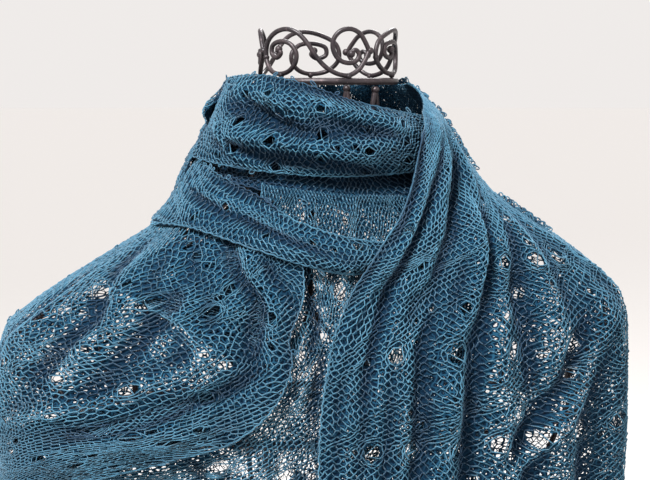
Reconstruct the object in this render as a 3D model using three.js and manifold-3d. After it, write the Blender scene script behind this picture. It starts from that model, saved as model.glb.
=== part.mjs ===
// A lace shawl wound round the neck of an open wire dress form. Millimetres, +Z up, front towards -Y.
// The origin is on the floor, under the middle of the whole. The neck's axis stands a little right of it
// and behind it, at bodyPlace. The picture's left is -X.

import * as THREE from 'three'
import Module from 'manifold-3d'
import { mergeVertices } from 'three/addons/utils/BufferGeometryUtils.js'

const wasm = await Module()
wasm.setup()

// Driving dimensions
const bodyPlace = [10.4, 14.5] // x and y of the neck's axis
const neckHeight = 600 // middle of the neck ring above the floor
const neckRadius = 47 // middle line of the neck ring
const neckWire = 2.5 // radius of the ring's wire
const hoopWire = 2.5 // radius of the hoops' wire
const ribWire = 1.9 // radius of the ribs and braces
const crownWire = 1.65 // radius of the crown's scrolls
const ballRadius = 2.6 // weld beads on the crown
const braceBead = 2.8 // weld beads where braces fork
const braceSpread = 11 // degrees from a neck brace's top to each of its feet
const seam = 0.3 // clearance between pieces that meet
const yokeDrop = 46 // hoop at the base of the neck, below the neck ring's middle
const bustDrop = 229
const waistDrop = 400
const armholeDrop = 178 // where the cloth rests on the armhole hoops
const footHeight = 5 // flat foot ring
const footWidth = 9
const footSteps = 36
const clothThickness = 1.6
const clothReach = 2.3 // mm of cloth to a degree round the body, near enough for laying out folds
const eyeletShare = 0.36 // eyelet radius as a share of the lace cell's short side

// Heights are given as drops below the middle of the neck ring, and angles in degrees round the body,
// 0 at the front and 90 at +X.

// The wire figure: half-widths and depths of its outline at each drop. squareness 2 is an ellipse.
const figureHoops = [
  // drop, left, right, front, back, squareness
  [0, 47, 47, 47, 47, 2],
  [40, 50, 50, 50, 50, 2],
  [70, 66, 66, 60, 56, 2],
  [100, 108, 108, 76, 64, 2.1],
  [130, 160, 168, 92, 74, 2.3],
  [160, 198, 198, 104, 80, 2.4],
  [195, 194, 194, 118, 84, 2.4],
  [bustDrop, 180, 180, 127, 84, 2.2],
  [300, 150, 150, 108, 78, 2.1],
  [waistDrop, 118, 118, 88, 74, 2],
  [500, 150, 150, 104, 96, 2],
  [neckHeight, 172, 172, 120, 112, 2],
]

// The cloth where it lies in a single layer, over the same figure.
const clothHoops = [
  // drop, left, right, front, back, squareness
  [-6, 64, 54, 60, 55, 2],
  [0, 66, 55, 62, 56, 2],
  [24, 73, 74, 68, 62, 2],
  [52, 88, 92, 76, 70, 2],
  [76, 99, 112, 86, 78, 2],
  [98, 121, 144, 96, 86, 2.1],
  [116, 150, 172, 104, 92, 2.2],
  [134, 180, 194, 111, 96, 2.3],
  [150, 204, 207, 117, 99, 2.4],
  [166, 222, 211, 121, 101, 2.5],
  [190, 228, 210, 126, 103, 2.5],
  [225, 227, 207, 131, 104, 2.5],
  [270, 225, 206, 133, 104, 2.4],
  [330, 221, 205, 131, 105, 2.3],
  [400, 217, 204, 129, 107, 2.2],
  [440, 216, 204, 129, 108, 2.2],
]

const radians = THREE.MathUtils.degToRad
const clamp = THREE.MathUtils.clamp
const mix = THREE.MathUtils.lerp

// A row between the rows of a table whose first column rises, smooth and without overshoot.
function rowAt(table, key) {
  const last = table.length - 1
  const at = clamp(key, table[0][0], table[last][0])
  let i = 0
  while (i < last - 1 && table[i + 1][0] <= at) i += 1
  const slopeOf = (k, c) => (table[k + 1][c] - table[k][c]) / (table[k + 1][0] - table[k][0])
  const tangent = (k, c) => {
    if (k === 0) return slopeOf(0, c)
    if (k === last) return slopeOf(last - 1, c)
    const before = slopeOf(k - 1, c)
    const after = slopeOf(k, c)
    return before * after > 0 ? (2 * before * after) / (before + after) : 0
  }
  const span = table[i + 1][0] - table[i][0]
  const t = (at - table[i][0]) / span
  return table[i].map((value, c) => {
    if (c === 0) return at
    const ends = (2 * t ** 3 - 3 * t ** 2 + 1) * value + (3 * t ** 2 - 2 * t ** 3) * table[i + 1][c]
    const bends = (t ** 3 - 2 * t ** 2 + t) * tangent(i, c) + (t ** 3 - t ** 2) * tangent(i + 1, c)
    return ends + bends * span
  })
}

// The point of an outline table at an angle and a drop, moved out by lift.
function outlinePoint(table, angle, drop, lift = 0) {
  const [, left, right, front, back, squareness] = rowAt(table, drop)
  const across = Math.sin(radians(angle))
  const ahead = Math.cos(radians(angle))
  const side = Math.abs(across) / (across < 0 ? left : right)
  const depth = Math.abs(ahead) / (ahead > 0 ? front : back)
  const radius = (side ** squareness + depth ** squareness) ** (-1 / squareness) + lift
  return new THREE.Vector3(radius * across, -radius * ahead, neckHeight - drop)
}

// A point of the wire figure, moved square to its surface by lift.
function figurePoint(angle, drop, lift = 0) {
  const spot = outlinePoint(figureHoops, angle, drop)
  const round = outlinePoint(figureHoops, angle + 1, drop).sub(outlinePoint(figureHoops, angle - 1, drop))
  const down = outlinePoint(figureHoops, angle, drop + 1).sub(outlinePoint(figureHoops, angle, drop - 1))
  return spot.addScaledVector(down.cross(round).normalize(), lift)
}

// Smooth line through rows of [angle, drop], read by length from 0 to 1.
function edgeLine(rows) {
  const points = rows.map(([angle, drop]) => new THREE.Vector3(angle * clothReach, drop, 0))
  const curve = new THREE.CatmullRomCurve3(points, false, 'centripetal')
  curve.arcLengthDivisions = 120
  return (t) => {
    const p = curve.getPointAt(clamp(t, 0, 1))
    return [p.x / clothReach, p.y]
  }
}

// How far a cloth stretch stands off the single layer: rows of [down, atStart, atMiddle, atEnd].
function liftAt(rows, across, down) {
  const [, atStart, atMiddle, atEnd] = rowAt(rows, down)
  const rest = 1 - across
  return atStart * rest * (rest - across) + 4 * atMiddle * across * rest + atEnd * across * (across - rest)
}

// Ridges and troughs laid along straight lines on the cloth, fading out at both ends.
function foldLift(folds, angle, drop) {
  let sum = 0
  for (const [fromAngle, fromDrop, toAngle, toDrop, height, halfWidth] of folds) {
    const line = new THREE.Vector2((toAngle - fromAngle) * clothReach, toDrop - fromDrop)
    const spot = new THREE.Vector2((angle - fromAngle) * clothReach, drop - fromDrop)
    const along = clamp(spot.dot(line) / line.lengthSq(), 0, 1)
    const away = spot.distanceTo(line.clone().multiplyScalar(along))
    const fade = Math.sqrt(Math.sin(Math.PI * clamp(along, 0.02, 0.98)))
    sum += height * fade * Math.exp(-((away / halfWidth) ** 2))
  }
  return sum
}

// A stretch of cloth ruled between two edges. Each piece's across runs from its first edge to its
// second, and down from top to hem.
function clothPoint(piece, across, down) {
  const [startAngle, startDrop] = piece.start(down)
  const [endAngle, endDrop] = piece.end(down)
  const angle = mix(startAngle, endAngle, across)
  const sag = 4 * across * (1 - across) * mix(piece.topSag, piece.hemSag, down)
  const drop = mix(startDrop, endDrop, across) + sag
  const folds = foldLift(piece.folds, angle, drop) + foldLift(hangingFolds, angle, drop)
  return outlinePoint(clothHoops, angle, drop, liftAt(piece.lifts, across, down) + folds)
}

// The cloth as a closed wall, with six-sided eyelets cut through the cells that the lace rows name:
// [row, firstColumn, lastColumn, step].
function clothWall(piece) {
  const { columns, rows } = piece
  const nearby = 0.01
  const point = (i, j) => clothPoint(piece, i / columns, j / rows)
  const normalAt = (i, j) => {
    const [u, v] = [i / columns, j / rows]
    const spot = (du, dv) => clothPoint(piece, clamp(u + du, 0, 1), clamp(v + dv, 0, 1))
    const alongU = spot(nearby, 0).sub(spot(-nearby, 0))
    const alongV = spot(0, nearby).sub(spot(0, -nearby))
    return alongV.cross(alongU).normalize()
  }
  const positions = []
  const add = (p) => positions.push(p.x, p.y, p.z) / 3 - 1
  const sides = [1, -1].map((side) => {
    const grid = []
    for (let j = 0; j <= rows; j += 1) {
      grid.push([])
      for (let i = 0; i <= columns; i += 1) {
        grid[j].push(add(point(i, j).addScaledVector(normalAt(i, j), (side * clothThickness) / 2)))
      }
    }
    return grid
  })
  const at = (k) => new THREE.Vector3(...positions.slice(3 * k, 3 * k + 3))
  const triangles = []
  const face = (side, a, b, c) => triangles.push(...(side > 0 ? [a, b, c] : [a, c, b]))
  const isCut = (i, j) =>
    piece.lace.some(
      ([row, first, last, skip]) => j === row && i >= first && i <= last && (i - first) % skip === 0,
    )
  for (let j = 0; j < rows; j += 1) {
    for (let i = 0; i < columns; i += 1) {
      const rims = sides.map((grid, k) => {
        const side = k === 0 ? 1 : -1
        const [a, b, c, d] = [grid[j][i], grid[j][i + 1], grid[j + 1][i + 1], grid[j + 1][i]]
        if (!isCut(i, j)) {
          face(side, a, d, c)
          face(side, a, c, b)
          return null
        }
        const rim = eyeletRim(at(a), at(b), at(c), at(d)).map(add)
        const ring = [[b, 0], [a, 1], [a, 2], [d, 3], [c, 4], [c, 5]]
        ring.forEach(([corner, n], m) => {
          const next = ring[(m + 1) % 6]
          face(side, corner, rim[next[1]], rim[n])
          if (next[0] !== corner) face(side, corner, next[0], rim[next[1]])
        })
        return rim
      })
      if (rims[0]) {
        rims[0].forEach((outer, n) => {
          const next = (n + 1) % 6
          triangles.push(outer, rims[0][next], rims[1][next], outer, rims[1][next], rims[1][n])
        })
      }
    }
  }
  const [outer, inner] = sides
  const border = []
  for (let i = 0; i < columns; i += 1) border.push([0, i + 1])
  for (let j = 0; j < rows; j += 1) border.push([j + 1, columns])
  for (let i = columns; i > 0; i -= 1) border.push([rows, i - 1])
  for (let j = rows; j > 0; j -= 1) border.push([j - 1, 0])
  border.forEach(([j, i], n) => {
    const [nextJ, nextI] = border[(n + 1) % border.length]
    const [a, b] = [outer[j][i], outer[nextJ][nextI]]
    const [c, d] = [inner[nextJ][nextI], inner[j][i]]
    triangles.push(a, b, c, a, c, d)
  })
  const geometry = new THREE.BufferGeometry()
  geometry.setAttribute('position', new THREE.Float32BufferAttribute(positions, 3))
  geometry.setIndex(triangles)
  return geometry
}

// Six points round the middle of a cell whose corners go a, b, c, d with a to b across and a to d down.
function eyeletRim(a, b, c, d) {
  const wide = a.distanceTo(b)
  const tall = a.distanceTo(d)
  const radius = eyeletShare * Math.min(wide, tall)
  return [30, 90, 150, 210, 270, 330].map((turn) => {
    const u = 0.5 + (radius * Math.cos(radians(turn))) / wide
    const v = 0.5 - (radius * Math.sin(radians(turn))) / tall
    return a.clone().lerp(b, u).lerp(d.clone().lerp(c, u), v)
  })
}

// The folds that every hanging layer follows, deepest at the hem: from angle and drop, to angle and drop,
// height, half-width.
const hangingFolds = [
  [-74, 280, -78, 560, -7, 12], [-58, 240, -64, 560, 10, 14], [-46, 240, -50, 560, -8, 12],
  [-28, 190, -36, 560, 9, 13], [-20, 250, -25, 560, -6, 10], [-8, 130, -14, 560, 7, 11],
  [8, 120, 4, 560, 6, 9], [20, 130, 11, 560, 7, 10], [18, 240, 19, 560, -6, 8],
  [34, 110, 27, 560, 9, 10], [48, 120, 46, 560, 8, 12], [37, 230, 37, 560, -7, 9],
  [66, 130, 62, 560, 10, 14], [54, 230, 54, 560, -8, 10], [80, 170, 77, 560, 8, 12],
  [108, 190, 112, 560, 9, 14], [124, 150, 132, 560, -8, 13], [142, 120, 152, 560, 10, 15],
  [164, 170, 168, 560, -8, 13], [186, 110, 182, 560, 11, 15], [204, 180, 200, 560, -9, 13],
  [224, 130, 216, 560, 10, 15], [240, 190, 236, 560, -8, 13], [252, 170, 254, 560, 9, 14],
]

// The rolled inner fold of the left stretch, from the neck down and round under the arm.
const innerFold = [
  // angle, drop
  [-28, 92], [-23, 104], [-20.5, 119], [-20, 136], [-23, 162], [-22, 175],
  [-25.5, 201], [-34, 223], [-46, 235], [-60, 251], [-76, 276],
]

// The stretches of cloth. Folds: from angle and drop, to angle and drop, height, half-width.
const clothPieces = {
  back: {
    start: [[93.6, 2], [93.6, 388]],
    end: [[266.4, 2], [266.4, 380]],
    topSag: 0, hemSag: 34, columns: 20, rows: 12,
    lifts: [[0, 1, 0, 1], [0.5, 1, 0, 1], [1, 1, 3, 1]],
    folds: [],
    lace: [[5, 2, 18, 3], [8, 3, 18, 3], [10, 2, 18, 3]],
  },
  centre_front: {
    start: [[-43, 66], [-38, 120], [-36, 175], [-52, 222], [-76, 262], [-89, 306], [-93, 345], [-93.2, 378]],
    end: [[47, 74], [34, 150], [27, 260], [24, 340], [22, 440]],
    topSag: 3, hemSag: 16, columns: 17, rows: 15,
    lifts: [[0, 0, 1, 0], [0.15, 0, 0, 0], [1, 0, 0, 0]],
    folds: [],
    lace: [[1, 5, 13, 2], [2, 4, 14, 2], [7, 3, 15, 3], [9, 3, 15, 3], [12, 2, 15, 3]],
  },
  left_underfold: {
    start: [[-84, 119], [-58, 141], [-43, 161], [-35, 174], [-41, 189], [-52, 198], [-64, 209], [-78, 226]],
    end: innerFold.map(([angle, drop]) => [angle - 3, drop - 2]),
    topSag: 0, hemSag: 0, columns: 5, rows: 13,
    lifts: [[0, -0.2, 2.6, 3.2], [0.2, 1, 3.7, 4.3], [0.5, 3, 4, 5], [1, 2, 4, 5]],
    folds: [],
    lace: [],
  },
  left_front: {
    start: [[-93.3, 72], [-93.3, 296]],
    end: innerFold,
    topSag: 0, hemSag: -2, columns: 16, rows: 14,
    lifts: [[0, 1, 6, 6.5], [0.15, 1, 8, 8.5], [0.5, 1, 8, 9], [0.85, 1, 8, 8], [1, 1, 6, 7]],
    folds: [
      [-62, 96, -84, 190, 4, 9], [-44, 100, -64, 215, -3, 10], [-34, 96, -42, 215, 4, 9],
      [-70, 150, -88, 250, 4, 10],
    ],
    lace: [[3, 2, 14, 3], [6, 3, 14, 3], [8, 9, 15, 2], [10, 3, 15, 3], [12, 8, 15, 2]],
  },
  right_front: {
    start: [
      [41, 20], [28, 40], [18, 68], [11, 87], [5.5, 99], [0, 115], [-6, 133], [-11, 157],
      [-14.5, 200], [-15.5, 250], [-15, 330], [-10, 428],
    ],
    end: [[93.3, 2], [93.3, 390]],
    topSag: -6, hemSag: 16, columns: 20, rows: 15,
    lifts: [[0, 10, 4, 1], [0.08, 20, 9, 1], [0.25, 20, 10, 1], [0.38, 9, 6, 1], [1, 8, 5, 1]],
    folds: [
      [30, 44, -4, 145, 4, 6], [46, 30, 14, 140, 5, 7], [60, 36, 30, 125, 5, 8],
      [36, 70, 12, 150, -5, 6], [52, 50, 34, 150, -5, 6],
    ],
    lace: [[4, 9, 17, 2], [6, 3, 17, 3], [8, 2, 18, 2], [10, 2, 18, 3], [13, 3, 18, 3]],
  },
  swag_band: {
    start: [[-88.3, 48], [-58, 64], [-40, 75], [-24, 89], [-4.5, 100], [11, 103], [40, 100]],
    end: [[-88.3, 96], [-60, 95], [-36, 106], [-22, 115], [-9, 122], [7, 122], [40, 116]],
    topSag: 0, hemSag: 0, columns: 4, rows: 22,
    lifts: [
      [0, 3.2, 9, 7], [0.25, 6, 15, 12.6], [0.5, 7, 17, 13], [0.62, 6, 15, 7], [0.75, 6, 12, 3],
      [1, 2.8, 5, 2.8],
    ],
    folds: [],
    lace: [],
  },
  neck_wrap_inner: {
    start: [[-82, 24], [80, 24]],
    end: [[-82, 60], [-40, 72], [0, 82], [50, 84], [80, 76]],
    topSag: 0, hemSag: 0, columns: 3, rows: 16,
    lifts: [[0, -6, -8, -0.4], [0.22, -6, -8, -2.2], [0.5, -6, -8, -2.3], [0.8, -6, -8, -2.6], [1, -6, -9, -5]],
    folds: [],
    lace: [],
  },
  neck_wrap_front: {
    start: [[-88.3, -3], [-55, -5], [-35, -2], [-16, 5], [-3, 11], [10, 15], [22, 18], [50, 23]],
    end: [[-88.3, 51], [-61, 56], [-42, 59], [-12, 62], [19, 61], [50, 57]],
    topSag: 0, hemSag: 0, columns: 7, rows: 20,
    lifts: [
      [0, 5, 9, 9], [0.2, 6, 15, 4], [0.5, 7, 18, 1.2], [0.75, 6, 13, 1.2], [0.9, 1, 6, 1], [1, 1, 3, 1],
    ],
    folds: [
      [-70, 14, -20, 34, -7, 6], [-60, 34, 14, 46, 4, 6], [-30, 12, 34, 32, 4, 6],
      [-20, 30, 20, 36, -5, 5],
    ],
    lace: [[4, 1, 5, 2], [7, 2, 6, 2], [10, 1, 5, 2], [13, 2, 6, 2], [16, 1, 5, 2]],
  },
  neck_wrap_back: {
    start: [[94, -3], [150, 3], [190, 4], [240, 0], [271.2, -3]],
    end: [[94, 62], [150, 78], [190, 84], [240, 90], [271.2, 95]],
    topSag: 0, hemSag: 0, columns: 5, rows: 20,
    lifts: [[0, 4, 8, 4.6], [0.25, 5, 10, 4.6], [0.5, 5, 12, 4.6], [0.9, 5, 11, 7], [1, 5, 9, 7]],
    folds: [
      [110, 24, 200, 44, 5, 8], [170, 58, 260, 34, 5, 8], [130, 50, 190, 62, -4, 6],
      [262, 12, 276, 26, 9, 7],
    ],
    lace: [[4, 1, 3, 2], [8, 1, 3, 2], [11, 1, 3, 2], [15, 1, 3, 2]],
  },
}

// A closed tube of flat-sided section along a smooth open line through points.
function tube(points, wire, steps, sides = 6) {
  const ringPoints = []
  for (let k = 0; k < sides; k += 1) {
    const turn = (2 * Math.PI * k) / sides
    ringPoints.push(new THREE.Vector2(wire * Math.cos(turn), wire * Math.sin(turn)))
  }
  const extrudePath = new THREE.CatmullRomCurve3(points, false, 'centripetal')
  return new THREE.ExtrudeGeometry(new THREE.Shape(ringPoints), { steps, extrudePath, bevelEnabled: false })
}

// A closed hoop of flat-sided section round a line that meets itself.
function hoop(pointAt, wire, steps, sides = 6) {
  const geometry = new THREE.TorusGeometry(1, 1, sides, steps)
  const place = geometry.attributes.position
  const perRing = steps + 1
  for (let i = 0; i < perRing; i += 1) {
    const share = (i % steps) / steps
    const middle = pointAt(share)
    const ahead = pointAt((share + 0.002) % 1).sub(pointAt((share + 0.998) % 1)).normalize()
    const up = new THREE.Vector3(0, 0, 1).addScaledVector(ahead, -ahead.z).normalize()
    const out = ahead.clone().cross(up)
    for (let j = 0; j <= sides; j += 1) {
      const turn = (2 * Math.PI * (j % sides)) / sides
      const p = middle.clone()
      p.addScaledVector(out, wire * Math.cos(turn)).addScaledVector(up, wire * Math.sin(turn))
      place.setXYZ(j * perRing + i, p.x, p.y, p.z)
    }
  }
  return geometry
}

function solidOf(geometry) {
  const bare = geometry.clone()
  bare.deleteAttribute('normal')
  bare.deleteAttribute('uv')
  const merged = mergeVertices(bare, 1e-4)
  const vertProperties = new Float32Array(merged.attributes.position.array)
  const triVerts = new Uint32Array(merged.index.array)
  return new wasm.Manifold(new wasm.Mesh({ numProp: 3, vertProperties, triVerts }))
}

// Several shapes welded into one.
function welded(geometries) {
  const whole = geometries.map(solidOf).reduce((sum, next) => sum.add(next))
  const mesh = whole.getMesh()
  const geometry = new THREE.BufferGeometry()
  geometry.setAttribute('position', new THREE.Float32BufferAttribute(mesh.vertProperties, 3))
  geometry.setIndex([...mesh.triVerts])
  return geometry
}

const ballAt = (point, radius) =>
  new THREE.IcosahedronGeometry(radius, 1).translate(point.x, point.y, point.z)

// The crown: one panel of two scrolls, as [share of the panel's width, height above the ring].
const waveScroll = [
  [0.188, 19.8], [0.21, 17.2], [0.166, 14.2], [0.101, 16.8], [0.106, 22], [0.205, 25], [0.304, 23.5],
  [0.364, 17.5], [0.359, 11], [0.304, 5.5], [0.215, 3.2], [0.087, 5.5], [0.007, 13.8], [0.027, 24.2],
  [0.149, 31.2], [0.28, 33.2], [0.379, 30.5], [0.463, 23.8], [0.542, 14.2], [0.619, 7.5], [0.713, 3.2],
  [0.804, 2.2], [0.891, 6], [0.95, 12.2], [0.99, 18.2],
]
const curlScroll = [
  [0.827, 16.5], [0.859, 19.2], [0.894, 16.8], [0.881, 12.8], [0.817, 10.5], [0.728, 12.5], [0.676, 19.2],
  [0.681, 26.5], [0.738, 31.8], [0.822, 33.2], [0.901, 30.2], [0.955, 24.2], [0.986, 19.6],
]
const crownHub = [1, 18.7] // the weld at each panel's end
const crownPanels = [[-77, 101], [29.7, 121], [156.4, 121]] // where each panel starts round the ring, its width
const braceAngles = [30, 150, 270]
const scrollLowest = 2.2 // the lowest height in the scrolls, which rests on the neck ring
const crownSeat = neckWire + crownWire - scrollLowest // flat-sided tubes leave the clearance

function ringPoint(angle, height, radius = neckRadius) {
  const [across, ahead] = [Math.sin(radians(angle)), Math.cos(radians(angle))]
  return new THREE.Vector3(radius * across, -radius * ahead, neckHeight + height)
}

function crownPanel([start, width]) {
  const onRing = ([share, height]) => ringPoint(start + share * width, height + crownSeat)
  const wave = tube(waveScroll.map(onRing), crownWire, 34, 4)
  const curl = tube(curlScroll.map(onRing), crownWire, 18, 4)
  const beads = [waveScroll[0], curlScroll[0], crownHub].map((row) => ballAt(onRing(row), ballRadius))
  return welded([wave, curl, ...beads])
}

// An upside-down V of two wires with a bead at its top, from under the neck ring to inside the yoke hoop.
function neckBrace(angle) {
  const top = ringPoint(angle, -neckWire - seam - braceBead)
  const leg = (turn) => {
    const foot = figurePoint(angle + turn * braceSpread, yokeDrop + hoopWire, insideHoops - 0.7)
    return tube([top, top.clone().lerp(foot, 0.5), foot], ribWire, 3, 5)
  }
  return welded([leg(-1), leg(1), ballAt(top, braceBead)])
}

// Wires on the figure from rows of [angle, drop].
const onFigure = (rows, lift) => rows.map(([angle, drop]) => figurePoint(angle, drop, lift))
const hoopFacet = 0.85 // how far a hoop's flat-sided tube dips inside its true line
const insideHoops = -hoopWire - ribWire - seam - hoopFacet
const braceInside = -hoopWire - ribWire + seam // flat-sided tubes leave the rest

function chestBrace(stem, legs, lift) {
  const wires = [stem, ...legs].map((rows) => tube(onFigure(rows, lift), ribWire, 6, 5))
  return welded([...wires, ballAt(figurePoint(...stem[stem.length - 1], lift), braceBead)])
}

// A rib follows the figure's own rows between its two ends.
function rib(angle, fromDrop, toDrop) {
  const nearest = 8
  const isBetween = (drop) => drop > fromDrop + nearest && drop < toDrop - nearest
  const between = figureHoops.map((row) => row[0]).filter(isBetween)
  const rows = [fromDrop, ...between, toDrop].map((drop) => [angle, drop])
  return tube(onFigure(rows, insideHoops), ribWire, Math.round(1.6 * rows.length), 5)
}

// The oval hoop of an armhole, as offsets from the point that carries the cloth or the point that sits on
// the bust hoop: which point, towards the neck, back, up.
const armholeRows = [
  ['rest', 9, -14, 12], ['rest', 0, 0, 0], ['rest', 8, 20, -22], ['low', -10, 18, 12],
  ['low', 0, 0, 0], ['low', -4, -30, 8], ['rest', 16, -42, -16], ['rest', 16, -34, 4],
]

function armhole(sign) {
  const clear = clothThickness / 2 + 2 * seam + hoopWire
  const anchors = {
    rest: outlinePoint(clothHoops, sign * 90, armholeDrop, 1 - clear),
    low: figurePoint(sign * 90, bustDrop).setZ(neckHeight - bustDrop + 2 * hoopWire + seam),
  }
  const points = armholeRows.map(([anchor, inward, back, up]) =>
    anchors[anchor].clone().setY(0).add(new THREE.Vector3(-sign * inward, back, up)),
  )
  const curve = new THREE.CatmullRomCurve3(points, true, 'centripetal')
  return hoop((share) => curve.getPoint(share), hoopWire, 24, 5)
}

// From outside the yoke hoop along the top of the shoulder to just short of the armhole hoop.
function shoulderWire(sign) {
  const rows = [[yokeDrop, hoopWire + ribWire + seam], [84, 2], [110, 0], [136, 0]] // drop, lift
  const armholeTop = outlinePoint(clothHoops, sign * 90, armholeDrop, 1)
  const last = armholeTop.add(new THREE.Vector3(-sign * 18.5, -8.5, 14))
  return tube([...rows.map(([drop, lift]) => figurePoint(sign * 90, drop, lift)), last], ribWire, 8, 5)
}

// The flat ring that the form stands on, its middle line under the figure.
function footRing() {
  const outline = (lift) => {
    const points = []
    for (let k = 0; k < footSteps; k += 1) {
      const p = figurePoint((360 * k) / footSteps, neckHeight, lift)
      points.push(new THREE.Vector2(p.x, p.y))
    }
    return points
  }
  const shape = new THREE.Shape(outline(footWidth / 2))
  shape.holes.push(new THREE.Path(outline(-footWidth / 2)))
  return new THREE.ExtrudeGeometry(shape, { depth: footHeight, bevelEnabled: false })
}

const figureHoop = (drop) => hoop((share) => figurePoint(360 * share, drop, 0), hoopWire, 36, 5)

const yarn = new THREE.MeshStandardMaterial({ color: 0x2f6d8c, roughness: 0.85, metalness: 0 })
const iron = new THREE.MeshStandardMaterial({ color: 0x4a3f40, roughness: 0.45, metalness: 0.8 })

const footTop = neckHeight - footHeight - 3 * seam // where the ribs end, as a drop
const ribs = {
  // angle, fromDrop, toDrop
  front_1: [-30, bustDrop - 4, footTop],
  front_2: [-10, bustDrop - 4, footTop],
  front_3: [10, bustDrop - 4, footTop],
  front_4: [30, bustDrop - 4, footTop],
  side_1: [-80, bustDrop - 4, footTop],
  side_2: [80, bustDrop - 4, footTop],
  back_1: [-120, yokeDrop - 4, footTop],
  back_2: [-150, yokeDrop - 4, footTop],
  back_3: [150, yokeDrop - 4, footTop],
  back_4: [120, yokeDrop - 4, footTop],
  shoulder_1: [-110, yokeDrop - 4, bustDrop + 4],
  shoulder_2: [110, yokeDrop - 4, bustDrop + 4],
  chest_1: [-60, yokeDrop - 4, bustDrop + 4],
  chest_2: [70, yokeDrop - 4, bustDrop + 4],
}

// Forked braces between the yoke and the chest: the stem's and the legs' rows of angle and drop.
const chestBraces = {
  left: {
    stem: [[-23, 56], [-21, 104], [-19, 145]],
    legs: [[[-19, 145], [-27, 192], [-38, 232]], [[-19, 145], [-4, 178], [12, 206], [21, 232]]],
  },
  right: {
    stem: [[28, 56], [35, 98], [38, 131]],
    legs: [[[38, 131], [24, 176], [16.5, 201]], [[38, 131], [49, 168], [57, 232]]],
  },
}

const group = new THREE.Group()
group.position.set(...bodyPlace, 0)

function place(name, geometry, material) {
  const mesh = new THREE.Mesh(geometry, material)
  mesh.name = name
  group.add(mesh)
}

place('foot_ring', footRing(), iron)
place('neck_ring', hoop((share) => ringPoint(360 * share, 0), neckWire, 30, 5), iron)
place('yoke_hoop', figureHoop(yokeDrop), iron)
place('bust_hoop', figureHoop(bustDrop), iron)
place('waist_hoop', figureHoop(waistDrop), iron)
crownPanels.forEach((panel, k) => place(`crown_panel_${k + 1}`, crownPanel(panel), iron))
braceAngles.forEach((angle, k) => place(`neck_brace_${k + 1}`, neckBrace(angle), iron))
for (const [name, [angle, fromDrop, toDrop]] of Object.entries(ribs)) {
  place(`rib_${name}`, rib(angle, fromDrop, toDrop), iron)
}
for (const [side, { stem, legs }] of Object.entries(chestBraces)) {
  place(`chest_brace_${side}`, chestBrace(stem, legs, braceInside), iron)
}
for (const [side, sign] of [['left', -1], ['right', 1]]) {
  place(`armhole_${side}`, armhole(sign), iron)
  place(`shoulder_wire_${side}`, shoulderWire(sign), iron)
}

for (const [name, piece] of Object.entries(clothPieces)) {
  const edges = { start: edgeLine(piece.start), end: edgeLine(piece.end) }
  place(name, clothWall({ ...piece, ...edges }), yarn)
}

export default group
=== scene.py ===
# A lace shawl wound round the neck of an open wire dress form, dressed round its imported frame.
# The scene is in metres, +Z up, front towards -Y. The sizes in the dictionaries are millimetres,
# and places on the body are an angle round it, 0 at the front and 90 at +X, and a drop below the
# middle of the neck ring.
import math

import bpy
import numpy as np
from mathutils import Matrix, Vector


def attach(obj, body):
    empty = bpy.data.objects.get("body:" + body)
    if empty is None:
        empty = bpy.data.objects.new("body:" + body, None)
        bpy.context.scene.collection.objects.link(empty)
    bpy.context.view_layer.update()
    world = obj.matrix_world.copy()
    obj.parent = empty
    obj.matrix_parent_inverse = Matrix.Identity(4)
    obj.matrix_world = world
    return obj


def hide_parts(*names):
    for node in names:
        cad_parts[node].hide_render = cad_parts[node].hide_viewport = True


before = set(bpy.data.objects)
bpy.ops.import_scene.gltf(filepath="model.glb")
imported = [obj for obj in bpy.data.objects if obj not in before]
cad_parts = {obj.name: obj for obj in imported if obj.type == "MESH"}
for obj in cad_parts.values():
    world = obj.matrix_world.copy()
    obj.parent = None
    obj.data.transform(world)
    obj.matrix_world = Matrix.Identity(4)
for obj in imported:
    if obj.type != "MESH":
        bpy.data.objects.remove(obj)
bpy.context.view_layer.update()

mm = 0.001

# the body that everything is laid on

form = {
    "x": 10.4,
    "y": 14.5,
    "neckHeight": 600,
    "neckRadius": 47,
    "neckWire": 2.5,
    "hoopWire": 2.5,
    "ribWire": 1.9,
    "crownWire": 1.65,
    "yokeDrop": 46,
    "bustDrop": 229,
    "waistDrop": 400,
    "armholeDrop": 178,
    "footWidth": 9,
    "footHeight": 5,
    "seam": 0.3,
    "hoopFacet": 0.85,
    "clothWall": 1.6,
    "clothReach": 2.3, # millimetres of cloth in a degree round the body
}

# drop, left, right, front, back, squareness
figureHoops = [
    [0, 47, 47, 47, 47, 2],
    [40, 50, 50, 50, 50, 2],
    [70, 66, 66, 60, 56, 2],
    [100, 108, 108, 76, 64, 2.1],
    [130, 160, 168, 92, 74, 2.3],
    [160, 198, 198, 104, 80, 2.4],
    [195, 194, 194, 118, 84, 2.4],
    [229, 180, 180, 127, 84, 2.2],
    [300, 150, 150, 108, 78, 2.1],
    [400, 118, 118, 88, 74, 2],
    [500, 150, 150, 104, 96, 2],
    [600, 172, 172, 120, 112, 2],
]
clothHoops = [
    [-6, 64, 54, 60, 55, 2],
    [0, 66, 55, 62, 56, 2],
    [24, 73, 74, 68, 62, 2],
    [52, 88, 92, 76, 70, 2],
    [76, 99, 112, 86, 78, 2],
    [98, 121, 144, 96, 86, 2.1],
    [116, 150, 172, 104, 92, 2.2],
    [134, 180, 194, 111, 96, 2.3],
    [150, 204, 207, 117, 99, 2.4],
    [166, 222, 211, 121, 101, 2.5],
    [190, 228, 210, 126, 103, 2.5],
    [225, 227, 207, 131, 104, 2.5],
    [270, 225, 206, 133, 104, 2.4],
    [330, 221, 205, 131, 105, 2.3],
    [400, 217, 204, 129, 107, 2.2],
    [440, 216, 204, 129, 108, 2.2],
]


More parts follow.
